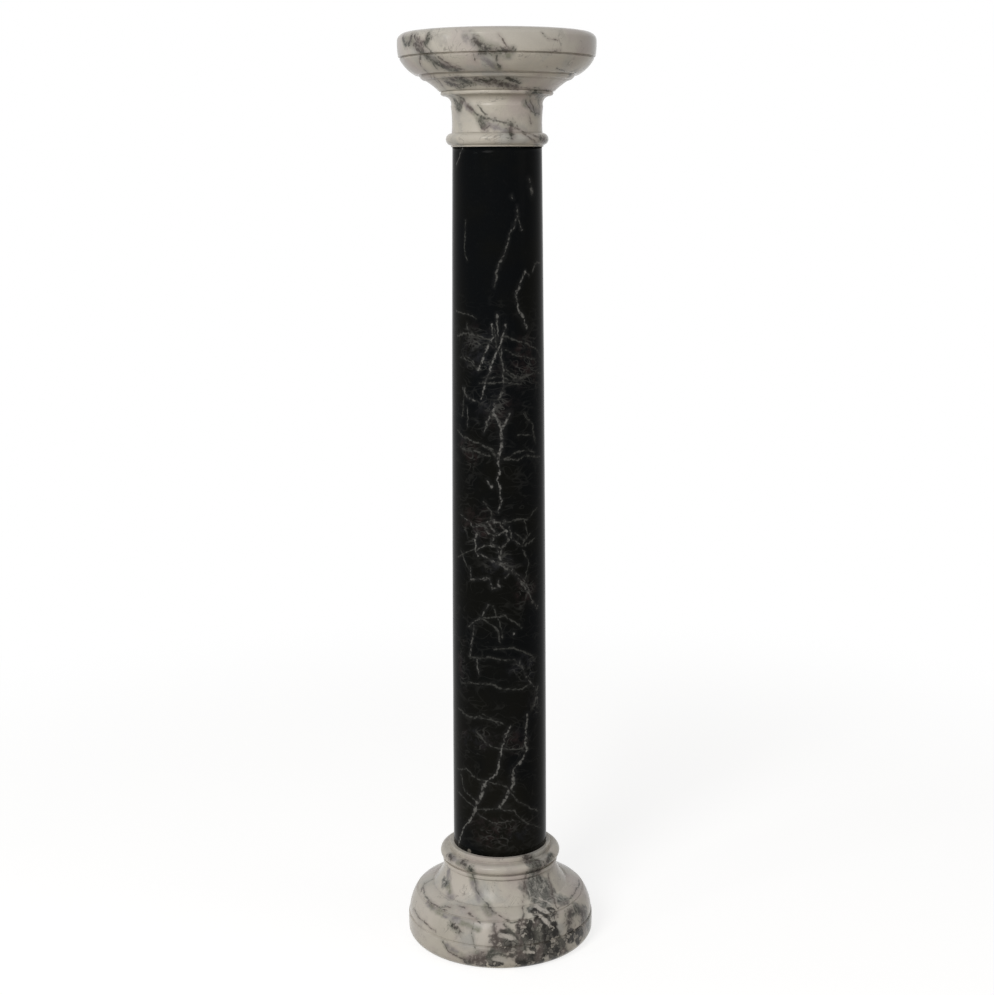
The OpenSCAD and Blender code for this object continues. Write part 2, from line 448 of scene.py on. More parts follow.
    def finish(self, colour, roughness, height, depth, specular):
        """The polished surface itself."""
        bump = self.node("ShaderNodeBump", {"Height": height, "Strength": 1.0, "Distance": depth * MM})
        surface = self.node("ShaderNodeBsdfPrincipled", {
            "Base Color": colour, "Roughness": roughness, "Normal": bump.outputs[0],
            "IOR": STONE_IOR, "Specular IOR Level": specular})
        self.node("ShaderNodeOutputMaterial", {0: surface.outputs[0]})


def new_material(name):
    material = bpy.data.materials.new(name)
    material.use_nodes = True
    return material, Web(material.node_tree)


# -------------------- black marble

SHAFT_MEAN_R = 53.8
# The back repeats the front's veins upside down: what shows at height h is from BACK_TURNOVER - h.
BACK_TURNOVER = 1055.0
BLACK_SPECULAR, BLACK_BUMP = 0.02, 0.06

JET_COOL, JET_WARM = (0.0038, 0.0046, 0.0054, 1), (0.0058, 0.006, 0.005, 1)
OLIVE, JET_GRAIN = (0.009, 0.0088, 0.0068, 1), (0.012, 0.012, 0.012, 1)
CLOUD_BLUE, CLOUD_RED = (0.019, 0.02, 0.024, 1), (0.027, 0.019, 0.019, 1)
BRIGHT_HALO, FINE_HALO = (0.03, 0.031, 0.032, 1), (0.022, 0.023, 0.022, 1)
THREAD, FINE_VEIN = (0.062, 0.063, 0.06, 1), (0.072, 0.073, 0.069, 1)
GREY_VEIN_DIM, GREY_VEIN = (0.05, 0.05, 0.048, 1), (0.135, 0.135, 0.129, 1)
BRIGHT_VEIN_DIM, BRIGHT_VEIN = (0.062, 0.062, 0.06, 1), (0.185, 0.185, 0.178, 1)
FRESH_BREAK = (0.3, 0.28, 0.25, 1)

# Each vein: half its width, and the places it runs through, as an angle and a height above the floor.
SHAFT_BRIGHT = (
    (0.9, (36, 803), (32, 797), (22, 777), (28, 757)), (1.5, (28, 757), (32, 751), (38, 741)),
    (1.0, (-8, 744), (-6, 730), (-13, 719), (-20, 707), (-24, 693)),
    (0.9, (10, 745), (8, 736), (3, 724), (-7, 705), (-10, 692), (-17, 678), (-21, 662)),
    (2.2, (-4, 656), (-6, 644)), (1.4, (-5, 644), (4, 628), (4, 614), (0, 599), (0, 590)),
    (0.8, (0, 590), (2, 580), (-2, 569), (2, 556), (4, 546), (-2, 532)), (1.2, (14, 646), (5, 631)),
    (1.0, (-14, 569), (-8, 562)), (1.4, (-7, 522), (-6, 521)), (1.5, (6, 522), (7, 520)),
    (1.2, (8, 510), (9, 509)), (1.3, (2, 480), (3, 478)), (1.1, (0, 448), (0, 446)),
    (1.2, (18, 391), (18, 390)), (1.2, (-28, 506), (-31, 489), (-26, 481)),
    (1.2, (36, 291), (34, 276), (33, 254), (36, 249), (30, 238), (16, 226)),
    (1.6, (16, 226), (16, 208), (6, 191), (0, 181)),
    (1.0, (12, 279), (7, 265), (2, 252), (-2, 229), (-4, 221), (-19, 208)),
    (1.5, (-19, 208), (-23, 195), (-31, 181), (-32, 171)),
    (1.0, (-32, 171), (-46, 152), (-58, 134), (-63, 121)),
)
SHAFT_GREY = (
    (1.1, (-50, 936), (-56, 928), (-64, 918)), (1.3, (44, 902), (45, 900)), (2.0, (47, 894), (49, 887)),
    (1.0, (18, 885), (19, 883)), (0.9, (26, 873), (26, 861), (15, 844), (8, 822), (-2, 801), (-4, 786)),
    (0.7, (26, 861), (32, 847)), (0.9, (68, 811), (53, 809), (48, 801)), (0.8, (36, 803), (42, 797)),
    (0.9, (0, 755), (0, 732)), (0.9, (3, 724), (4, 709), (6, 692), (6, 675), (2, 662), (-4, 656)),
    (1.0, (-10, 644), (-14, 633), (-18, 623)), (1.0, (-48, 671), (-41, 662), (-28, 658)),
    (0.7, (-41, 651), (-41, 629)), (1.0, (-26, 485), (0, 472), (19, 460), (32, 444), (52, 415)),
    (0.8, (4, 478), (12, 462), (30, 456), (40, 436)), (1.6, (0, 474), (10, 470)),
    (1.6, (44, 424), (55, 416)),
    (0.9, (-38, 466), (-36, 452), (-12, 456), (-9, 442), (-2, 444), (0, 454)),
    (0.9, (-14, 425), (-23, 409), (-40, 396)), (0.9, (-32, 397), (-39, 362)),
    (0.9, (-28, 357), (-26, 341)), (1.3, (54, 320), (48, 300)),
    (0.8, (-14, 520), (-2, 508), (-10, 496), (4, 490)), (0.8, (12, 516), (16, 500), (26, 494)),
    (0.8, (-54, 526), (-40, 520), (-32, 514), (-19, 518), (-9, 522)),
    (0.8, (-8, 522), (1, 520), (7, 510), (-3, 504), (-12, 508), (-19, 518)),
    (0.8, (7, 510), (12, 500), (5, 492), (2, 480)), (0.8, (-30, 487), (-14, 495), (-3, 492), (2, 480)),
    (0.9, (26, 356), (30, 344), (36, 332), (50, 320), (54, 300)),
    (0.8, (8, 456), (16, 466), (23, 455), (38, 442)),
)
SHAFT_FINE = (
    (0.7, (-64, 757), (-40, 755), (-27, 751)), (0.7, (9, 715), (29, 708), (51, 705)),
    (0.7, (-44, 708), (-40, 707), (-30, 702)), (0.8, (10, 690), (26, 683), (55, 690)),
    (0.8, (-24, 679), (7, 680), (28, 677)), (0.7, (35, 645), (46, 630), (52, 608)),
    (0.7, (24, 620), (46, 619)), (0.9, (-60, 621), (-28, 611), (-8, 604), (-4, 597)),
    (0.9, (-52, 603), (-40, 601), (-25, 601), (-10, 597)),
    (0.9, (7, 594), (20, 600), (40, 602), (50, 598)), (0.9, (8, 594), (25, 593), (34, 596), (64, 591)),
    (0.9, (6, 521), (19, 522), (34, 522), (54, 533)), (0.9, (20, 506), (34, 498), (42, 505)),
    (0.7, (-64, 474), (-37, 485), (-28, 492)),
    (0.9, (-39, 360), (-26, 359), (-13, 363), (-4, 361), (18, 358), (29, 347)),
    (0.8, (-6, 373), (18, 373), (48, 358)),
    (0.9, (-42, 328), (-11, 331), (4, 324), (29, 323), (42, 327)),
    (0.9, (-60, 292), (-41, 287), (-26, 289), (-8, 286), (4, 283)),
    (0.9, (-30, 272), (-22, 263), (-11, 255), (-2, 253), (20, 250), (33, 252)),
    (0.8, (-64, 217), (-45, 222), (-27, 211), (-14, 211), (8, 206), (18, 198)),
    (0.8, (-64, 189), (-32, 178)), (0.8, (-30, 176), (0, 179), (18, 175), (31, 158), (60, 144)),
    (0.8, (-27, 169), (-4, 160), (16, 164)), (0.8, (-20, 409), (8, 412), (28, 396)),
    (0.7, (-8, 424), (2, 400), (4, 384)), (0.7, (-50, 640), (-46, 672)),
    (0.8, (-9, 522), (-10, 534), (-18, 545)), (0.8, (-22, 409), (-10, 402), (-2, 395), (2, 379)),
    (0.8, (-22, 293), (-11, 289), (0, 281)),
    (0.7, (32, 522), (38, 505), (28, 492), (38, 494), (49, 499)),
    (0.7, (30, 487), (38, 470), (34, 453)), (0.7, (-40, 464), (-48, 472), (-54, 484)),
    (0.8, (-56, 213), (-48, 195), (-28, 184)), (0.8, (9, 205), (21, 187), (52, 168)),
    (0.8, (-62, 728), (-41, 735), (-26, 732), (-9, 727)), (0.7, (-41, 745), (-38, 730), (-22, 722)),
    (0.8, (7, 731), (24, 727), (54, 715), (66, 705)), (0.8, (9, 694), (29, 684), (39, 688), (66, 687)),
    (0.8, (-54, 706), (-36, 702), (-22, 693)), (0.7, (-18, 685), (3, 686), (17, 682)),
    (0.7, (32, 643), (46, 631), (49, 611)), (0.7, (-5, 742), (-2, 719), (5, 705), (7, 682)),
    (0.6, (-44, 858), (-46, 825), (-42, 814)),
)
# The sides, which no front vein reaches.
SHAFT_SIDES = (
    (1.0, (84, 860), (92, 812), (86, 770), (95, 744), (90, 700)),
    (0.9, (74, 640), (88, 622), (100, 632)),
    (1.2, (98, 560), (90, 522), (94, 488), (84, 452), (90, 410)),
    (0.8, (78, 356), (92, 348), (104, 352)), (1.0, (88, 300), (94, 262), (86, 224), (92, 190)),
    (0.9, (-92, 880), (-84, 842), (-90, 806)),
    (1.1, (-96, 700), (-88, 664), (-92, 620), (-84, 588), (-92, 550)),
    (0.8, (-104, 500), (-90, 512), (-76, 504)), (1.0, (-84, 430), (-92, 392), (-86, 350), (-94, 312)),
    (0.8, (-104, 244), (-92, 236), (-76, 246)), (1.1, (-88, 214), (-94, 180), (-86, 142)),
)
# Paler, smoky places in the black: angle, height, half width round the shaft and half height.
SHAFT_SMOKE = (
    (-26, 516, 32, 26), (-30, 262, 30, 15), (20, 258, 26, 17), (-24, 715, 34, 34), (34, 700, 30, 34),
    (0, 650, 30, 26), (4, 470, 26, 14), (34, 440, 20, 22), (4, 150, 48, 24), (30, 350, 24, 22),
    (-40, 600, 22, 22), (-50, 350, 12, 30), (50, 300, 14, 22),
)


def on_shaft(lines):
    """Veins on the unrolled shaft."""
    def spread(angle, height):
        return Vector((math.radians(angle) * SHAFT_MEAN_R, height, 0.0))

    return [(half_width, [spread(*place) for place in places]) for half_width, *places in lines]


def black_marble():
    material, web = new_material("black_marble_polished")
    spot = web.place()
    x, y, z = web.split(spot)
    behind = web.math("GREATER_THAN", y, 0.0)
    turned_over = web.math("MULTIPLY_ADD", z, -2.0, BACK_TURNOVER)
    height = web.math("MULTIPLY_ADD", behind, turned_over, z)
    fold = web.times(web.math("ARCTAN2", x, web.math("ABSOLUTE", y)), SHAFT_MEAN_R)
    whole = web.times(web.math("ARCTAN2", x, web.times(y, -1.0)), SHAFT_MEAN_R)

    def level(at):
        return web.vec("MULTIPLY", at, (1.0, 1.0, 0.0))

    def unsteady(at):
        return level(web.shaken(web.shaken(at, spot, 12.0, 6.0), spot, 3.2, 3.4))

    def core(near, reach, solid=0.2):
        return web.fade(web.times(near, thick), reach, solid)

    # How near a point is to each kind of vein.
    unrolled = web.join(fold, height, 0.0)
    shaken = unsteady(unrolled)
    thick = web.fade(web.noise(spot, 7.0, 2.0), 0.36, 0.62, 1.5, 0.8)
    bright = web.nearest(shaken, on_shaft(SHAFT_BRIGHT))
    bright_core = core(bright, 1.7)
    grey = web.nearest(shaken, on_shaft(SHAFT_GREY))
    grey_core = core(grey, 1.7)
    bright_halo = web.fade(web.math("MINIMUM", bright, grey), 5.5, 0.5)
    fine = web.nearest(shaken, on_shaft(SHAFT_FINE))
    fine_core = core(fine, 2.0)
    fine_halo = web.fade(fine, 7.0, 0.5)
    sides = unsteady(web.join(whole, z, 0.0))
    side_core = core(web.nearest(sides, on_shaft(SHAFT_SIDES)), 1.3, 0.3)
    wide = level(web.shaken(unrolled, spot, 26.0, 34.0))
    smoke = web.fade(web.nearest_patch(wide, [
        (Vector((math.radians(a) * SHAFT_MEAN_R, h, 0.0)), Vector((half_w, half_h, 1.0)))
        for a, h, half_w, half_h in SHAFT_SMOKE]), 1.1, 0.25)

    # Faint threads of the same stone, thickest where it is smoky.
    layered = web.vec("MULTIPLY", spot, (1.0, 1.0, 1.7))
    threads = web.math("MAXIMUM", web.ridge(layered, 34.0, 0.026, 1.6, 0.4),
                       web.ridge(layered, 21.0, 0.03, 1.2, 0.6))
    cracks = web.times(web.ridge(layered, 13.0, 0.04, 1.0, 0.5), smoke)
    threads = web.math("MAXIMUM", threads, cracks)
    thread_share = web.times(threads, web.fade(web.noise(spot, 19.0, 3.0), 0.4, 0.6, 0.1, 1.0))
    thread_share = web.times(thread_share, web.math("MULTIPLY_ADD", smoke, 0.68, 0.17))
    plain_head = web.fade(z, 800.0, 740.0, 0.06, 1.0)
    thread_share = web.times(thread_share, plain_head)

    # The ground: black, in slow changes of tint, olive low down and smoky in places.
    tint = web.channels(web.noise(spot, 90.0, 3.0, colour=True))
    black = web.blend(web.fade(tint[0], 0.4, 0.62), JET_COOL, JET_WARM)
    olive = web.times(web.fade(z, 420.0, 180.0), web.fade(tint[1], 0.42, 0.6))
    black = web.blend(olive, black, OLIVE)
    grain = web.noise(spot, 3.2, 4.0, 0.7)
    cloud = web.times(smoke, web.fade(web.noise(spot, 9.0, 4.0, 0.65), 0.4, 0.72))
    black = web.blend(cloud, black, web.blend(web.fade(tint[2], 0.46, 0.56), CLOUD_BLUE, CLOUD_RED))
    black = web.blend(web.times(bright_halo, 0.3), black, BRIGHT_HALO)
    black = web.blend(web.times(fine_halo, 0.22), black, FINE_HALO)
    black = web.blend(web.fade(grain, 0.55, 0.8, 0.0, 0.5), black, JET_GRAIN)
    black = web.blend(thread_share, black, THREAD)

    # The veins, stronger and weaker along their runs.
    broken = web.noise(spot, 4.5, 3.0, 0.6)
    fine_share = web.times(fine_core, web.fade(broken, 0.38, 0.6, 0.12, 0.9))
    colour = web.blend(fine_share, black, FINE_VEIN)
    grey_colour = web.blend(web.fade(broken, 0.4, 0.66), GREY_VEIN_DIM, GREY_VEIN)
    grey_core = web.math("MAXIMUM", grey_core, side_core)
    grey_share = web.times(grey_core, web.fade(broken, 0.38, 0.58, 0.15, 0.9))
    colour = web.blend(grey_share, colour, grey_colour)
    bright_colour = web.blend(web.fade(broken, 0.36, 0.62), BRIGHT_VEIN_DIM, BRIGHT_VEIN)
    bright_share = web.times(bright_core, web.fade(broken, 0.36, 0.56, 0.15, 1.0))
    colour = web.blend(bright_share, colour, bright_colour)

    # The fresh break at the foot is paler than the polish.
    chip = web.fade(web.vec("DISTANCE", spot, CHIP_AT), CHIP_REACH * 1.1, CHIP_REACH * 0.5)
    colour = web.blend(web.times(chip, 0.8), colour, FRESH_BREAK)

    veined = web.math("MAXIMUM", bright_core, grey_core)
    polish = web.fade(web.noise(spot, 20.0, 3.0), 0.3, 0.7, 0.13, 0.2)
    roughness = web.math("MULTIPLY_ADD", veined, 0.1, polish)
    roughness = web.math("MULTIPLY_ADD", chip, 0.35, roughness)
    web.finish(colour, roughness, web.noise(spot, 24.0, 2.0), BLACK_BUMP, BLACK_SPECULAR)
    return material


# -------------------- white marble

# The stone grows cooler between these heights.
COOL_FROM, COOL_FULL = 1022.0, 1052.0
FRAGMENT = 5.6
WHITE_SPECULAR, WHITE_BUMP = 0.17, 0.1

CREAM, CREAM_DEEP, CRYSTAL = (0.59, 0.558, 0.492, 1), (0.525, 0.493, 0.432, 1), (0.66, 0.62, 0.56, 1)
ROSE, COOL, COOL_TOP = (0.505, 0.445, 0.425, 1), (0.43, 0.432, 0.412, 1), (0.545, 0.53, 0.5, 1)
# The first colour on the next line is a painted sheen: the ground lightened where light falls.
PAINTED_SHEEN_CREAM, THIN_VEIN, VEIL = (0.665, 0.62, 0.56, 1), (0.22, 0.205, 0.185, 1), (0.36, 0.345, 0.32, 1)
GREEN_STAIN, LILAC_STAIN = (0.255, 0.255, 0.205, 1), (0.255, 0.238, 0.245, 1)
BRUISE = (
    (0.38, (0.06, 0.06, 0.055, 1)), (0.46, (0.135, 0.138, 0.126, 1)),
    (0.54, (0.22, 0.22, 0.205, 1)), (0.64, (0.43, 0.415, 0.38, 1)))
FRAGMENTS = (
    (0.2, (0.015, 0.013, 0.011, 1)), (0.38, (0.036, 0.034, 0.03, 1)), (0.54, (0.088, 0.084, 0.075, 1)),
    (0.68, (0.175, 0.166, 0.15, 1)), (0.84, (0.42, 0.395, 0.355, 1)))
# The last colour on the next line is old dust and painted shade for the sunk lines.
SEAM, WHITE_PIECE, GROOVE_DUST_AND_SHADE = (0.022, 0.021, 0.019, 1), (0.53, 0.5, 0.46, 1), (0.155, 0.128, 0.098, 1)
# In pairs, greenish and brownish.
MASS, AROUND_MASS = (
    ((0.064, 0.066, 0.055, 1), (0.098, 0.087, 0.08, 1)), ((0.24, 0.235, 0.205, 1), (0.285, 0.255, 0.238, 1)))
DARK_LINE, LINE_HALO = (
    ((0.06, 0.061, 0.053, 1), (0.09, 0.075, 0.068, 1)), ((0.27, 0.265, 0.23, 1), (0.33, 0.28, 0.26, 1)))

CAPITAL_DARK = (
    (0.9, (-48, 1048), (-44, 1033), (-42, 1026), (-42, 1018)),
    (0.9, (-50, 1033), (-54, 1023), (-54, 1016), (-60, 1009), (-60, 1000)),
    (1.1, (-44, 1046), (-40, 1036), (-34, 1028), (-29, 1020), (-22, 1016)),
    (0.7, (1, 1050), (4, 1042), (8, 1035)), (0.8, (0, 1032), (0, 1024), (2, 1017)),
    (0.7, (-13, 1032), (-13, 1025)), (0.5, (25, 1053), (30, 1047), (36, 1045)),
    (0.6, (23, 1034), (30, 1034), (38, 1036)), (1.0, (-53, 1013), (-57, 1006), (-60, 1000)),
    (0.7, (18, 999), (36, 999), (66, 997)),
    (1.3, (-52, 993), (-44, 987), (-38, 981), (-26, 971), (-11, 967), (6, 963), (18, 959), (32, 953),
     (56, 946)),
    (1.0, (-66, 984), (-52, 976), (-44, 988)), (0.8, (-24, 981), (-17, 974), (-12, 971)),
    (0.9, (-23, 964), (-16, 954), (-9, 959)), (0.9, (26, 959), (32, 951), (41, 945), (58, 939)),
    (0.9, (36, 987), (48, 974), (68, 973)), (1.2, (40, 991), (50, 982), (56, 972)),
    (1.0, (58, 991), (66, 980), (70, 972)), (0.9, (46, 969), (48, 963)),
    (0.6, (42, 1018), (58, 1015), (66, 1019)),
)
CAPITAL_MASS = (
    (1.7, (-67, 1053), (-63, 1045), (-58, 1046), (-56, 1053)),
    (1.7, (-52, 1052), (-47, 1044), (-42, 1046), (-41, 1052)),
    (2.2, (-52, 1043), (-46, 1036), (-43, 1029)), (2.0, (-63, 988), (-56, 979), (-50, 985)),
    (1.8, (-20, 966), (-15, 957)), (2.2, (-47, 1005), (-38, 1001), (-28, 1003)),
    (1.6, (8, 1008), (20, 1004)), (2.6, (-40, 1025), (-35, 1021), (-28, 1017)),
    (1.7, (-12, 1046), (-9, 1040), (-4, 1035)), (1.7, (-9, 1034), (1, 1034)),
    (1.5, (3, 1035), (9, 1036)), (2.8, (-38, 1008), (-30, 1009), (-24, 1004)),
    (2.3, (-17, 1007), (-6, 1004)), (2.2, (-4, 1006), (6, 1002), (18, 1000)),
    (1.8, (34, 994), (50, 993), (66, 990)), (2.0, (17, 961), (16, 947)), (2.0, (58, 946), (74, 943)),
    (1.6, (68, 1015), (69, 1014)),
)
BASE_DARK = (
    (0.8, (-28, 99), (-24, 82), (-16, 74), (-10, 68), (-6, 65), (2, 61), (7, 57), (15, 57)),
    (0.8, (-88, 63), (-68, 61), (-53, 60), (-40, 60)), (1.3, (-46, 61), (-40, 63)),
    (1.0, (-33, 65), (-28, 65)), (1.2, (-23, 62), (-17, 60), (-13, 56)),
    (0.6, (-18, 57), (-18, 45), (-16, 32), (-15, 27)),
    (2.2, (-4, 56), (-2, 41), (-4, 31), (-8, 19), (-21, 10)),
    (0.8, (-37, 28), (-33, 17), (-26, 14), (-19, 12)),
    (2.0, (-22, 8), (-14, 12), (-8, 20), (-2, 24), (6, 20), (12, 26)),
    (0.7, (-74, 42), (-56, 40), (-44, 36)), (0.9, (96, 61), (76, 62), (56, 62), (43, 60)),
    (1.0, (26, 103), (24, 81), (18, 66), (14, 54)), (1.3, (3, 56), (7, 48), (12, 37)),
    (1.2, (14, 37), (15, 19)), (1.2, (24, 52), (24, 29), (23, 13)), (1.1, (39, 31), (40, 22), (46, 8)),
    (0.9, (58, 90), (54, 72), (44, 62), (40, 54)),
)
BASE_MASS = (
    (2.4, (-20, 12), (-12, 19), (-5, 25)), (3.0, (48, 43), (51, 51), (60, 51), (66, 42), (64, 34)),
    (1.6, (42, 10), (43, 9)), (2.0, (-32, 49), (-27, 45)), (2.0, (-62, 112), (-56, 110)),
    (2.0, (-41, 112), (-36, 110)), (1.8, (-30, 108), (-27, 103)),
    (3.0, (31, 116), (36, 110), (42, 102)), (2.4, (52, 108), (62, 112)), (1.8, (36, 116), (50, 104)),
)
# Broad stains, drawn as the veins are.
CAPITAL_STAINS = (
    (5.0, (-62, 1052), (-48, 1040), (-40, 1028), (-30, 1016)),
    (6.5, (-16, 1050), (-8, 1040), (6, 1030)), (4.0, (-10, 1030), (0, 1018)),
    (4.0, (-44, 1008), (-20, 1004), (10, 1002)), (3.0, (-52, 988), (-34, 976), (-16, 962), (16, 952)),
    (4.0, (36, 984), (62, 974)),
)
BASE_STAINS = (
    (5.5, (-32, 104), (-26, 86), (-18, 74), (-8, 64)), (4.0, (-60, 58), (-30, 56), (-14, 50)),
    (5.0, (-66, 90), (-58, 76), (-48, 68)), (4.5, (-34, 24), (-20, 12)),
    (5.0, (60, 56), (70, 36), (64, 16)), (3.5, (-58, 112), (-36, 108), (-28, 100)),
)
# A painted sheen, as paler ground where light falls on the base's left; bruised grey-green places, and places
# of broken stone cemented in dark:
# angle, height and half size.
BASE_SHEEN_PLACES = ((-48, 88, 34), (-62, 50, 38), (-88, 20, 40), (-10, 42, 14))
BASE_BRUISES = (
    (33, 112, 8), (35, 102, 10), (34, 92, 11), (32, 82, 15), (42, 84, 12), (38, 68, 15), (26, 64, 9),
    (50, 74, 11),
    (54, 64, 10), (68, 42, 9), (72, 24, 10), (-64, 77, 8),
)
BASE_BRECCIA = (
    (2, 38, 15), (14, 30, 20), (28, 34, 22), (18, 10, 18), (36, 20, 16), (30, 50, 16), (16, 48, 14),
    (-4, 14, 10), (48, 26, 12), (-13, 9, 7), (-20, 8, 5), (57, 22, 11), (30, 62, 10), (38, 58, 8),
)
# White pieces in the broken stone, drawn as the veins are.
BASE_WHITE = (
    (2.8, (29, 66), (34, 61)), (2.6, (28, 58), (32, 50)), (2.4, (0, 44), (8, 41)),
    (2.8, (-4, 18), (2, 15)), (1.3, (36, 70), (42, 64)), (1.6, (14, 24), (20, 21)),
)

# Out of sight from the front.
CAPITAL_BACK_MASS = (
    (2.4, (120, 1042), (128, 1038)), (2.6, (196, 1006), (206, 1004)), (2.2, (236, 1028), (244, 1022)),
    (2.0, (150, 960), (155, 952)),
)
CAPITAL_TOP_GREY = ((-150, 1040, 22), (200, 1059, 20), (-100, 1059, 15))
BASE_BACK_MASS = (
    (2.4, (128, 40), (134, 44)), (2.8, (206, 84), (212, 76)), (2.2, (238, 30), (246, 26)),
    (2.6, (160, 111), (168, 110)),
)
BASE_BACK_BRUISES = ((150, 60, 16), (160, 74, 14))
BASE_BACK_BRECCIA = ((152, 30, 17), (164, 16, 14))

# The wandering veins on the backs.
BACK_VEINS, BACK_VEIN_STEPS, BASE_SEED, CAPITAL_SEED = 12, 5, 11, 29
BASE_CUT_FROM, CAPITAL_CUT_FROM = (400.0, 0.0, 0.0), (0.0, 250.0, 60.0)

# The sunk lines that old dust and painted shade lie in: height, how far it reaches and how thick it lies.
BASE_GROOVES = (
    (30.7, 2.2, 0.2), (58.2, 1.6, 0.15), (67.4, 1.5, 0.05), (94.0, 1.6, 0.25), (99.8, 1.3, 0.2),
    (112.8, 1.2, 0.2))
CAPITAL_GROOVES = (
    (952.6, 1.0, 0.4), (992.2, 1.2, 0.4), (998.0, 1.0, 0.2), (1009.2, 1.4, 0.25), (1014.4, 1.2, 0.15),
    (1033.3, 1.8, 0.42))


def wandering(seed, angles, heights):
    """Veins for a side that is out of sight from the front: each wanders up or round the stone."""
    draw = random.Random(seed)
    lines = []
    for _ in range(BACK_VEINS):
        angle, height = draw.uniform(*angles), draw.uniform(*heights)
        lean = draw.choice((-1, 1)) * draw.uniform(3.0, 9.0)
        climb = draw.uniform(-11.0, 11.0)
        places = []
        for _ in range(BACK_VEIN_STEPS):
            places.append((angle, min(max(height, heights[0]), heights[1])))
            angle += lean * draw.uniform(0.3, 1.6)
            height += climb * draw.uniform(0.2, 1.5)
        lines.append((draw.uniform(0.5, 1.2), *places))
    return tuple(lines)


def on_side(side, angle, height):
    """A place on a turned piece's side."""
    r = radius_at(side, height)
    a = math.radians(angle)
    return Vector((r * math.sin(a), -r * math.cos(a), height))


def drawn_on(side, lines, longest=13.0):
    """Veins as runs of short chords along the stone's surface."""
    drawn = []
    for half_width, *places in lines:
        points = []
        for (a0, h0), (a1, h1) in zip(places, places[1:]):
            span = (on_side(side, a1, h1) - on_side(side, a0, h0)).length
            parts = max(1, math.ceil(span / longest))
            points += [on_side(side, a0 + (a1 - a0) * part / parts, h0 + (h1 - h0) * part / parts)
                       for part in range(parts)]
        points.append(on_side(side, *places[-1]))
        drawn.append((half_width, points))
    return drawn


def lumps(side, rows):
    """Round patches on a turned piece's side."""
    return [(on_side(side, angle, height), Vector((size, size, size))) for angle, height, size in rows]


